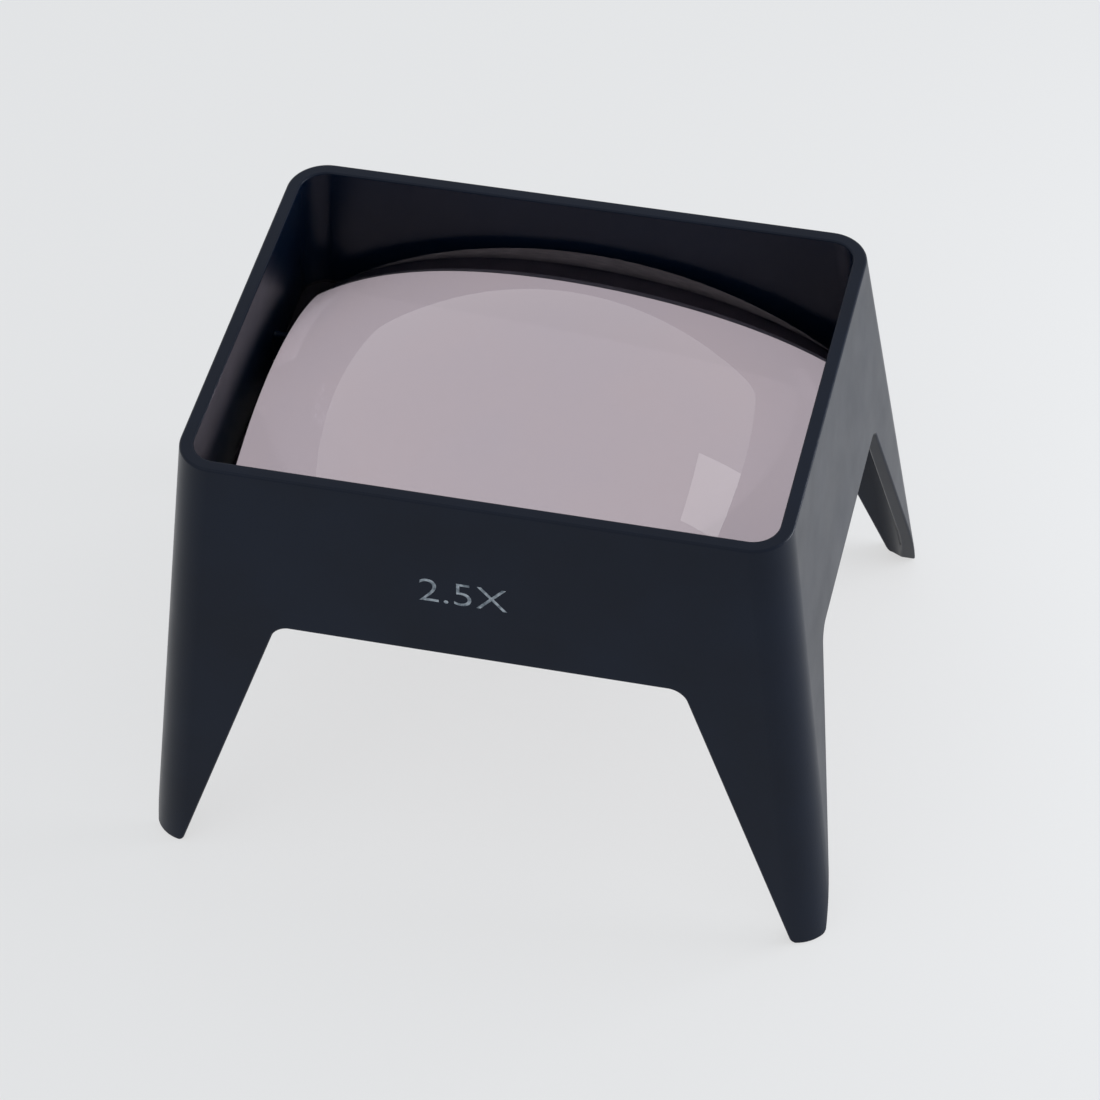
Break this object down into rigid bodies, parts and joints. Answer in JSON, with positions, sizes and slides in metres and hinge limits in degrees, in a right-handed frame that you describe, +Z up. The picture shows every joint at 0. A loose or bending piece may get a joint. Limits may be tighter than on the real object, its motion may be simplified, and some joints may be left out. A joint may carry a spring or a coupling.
{
  "type": "stand magnifier",
  "caption": "Fixed-focus reading magnifier: a thick rectangular dome lens held in a tapered moulded plastic stand that rises on splayed corner legs over the page.",
  "frame": {"origin": "centre of the footprint, on the surface that the feet stand on", "axes": "+Z up from the page through the middle of the lens, +X along the long side of the lens, +Y along its short side"},
  "size_m": [0.1262, 0.1012, 0.0896],
  "materials": {
    "stand_plastic": "dark blue-black moulded plastic, satin to semi-gloss",
    "lens_acrylic": "polished clear acrylic with a faint pink cast",
    "frame_plastic": "matte black moulded plastic"
  },
  "bodies": {
    "root": {"stand": "stand_plastic", "lens": "lens_acrylic", "retaining_frame": "frame_plastic"}
  },
  "joints": []
}
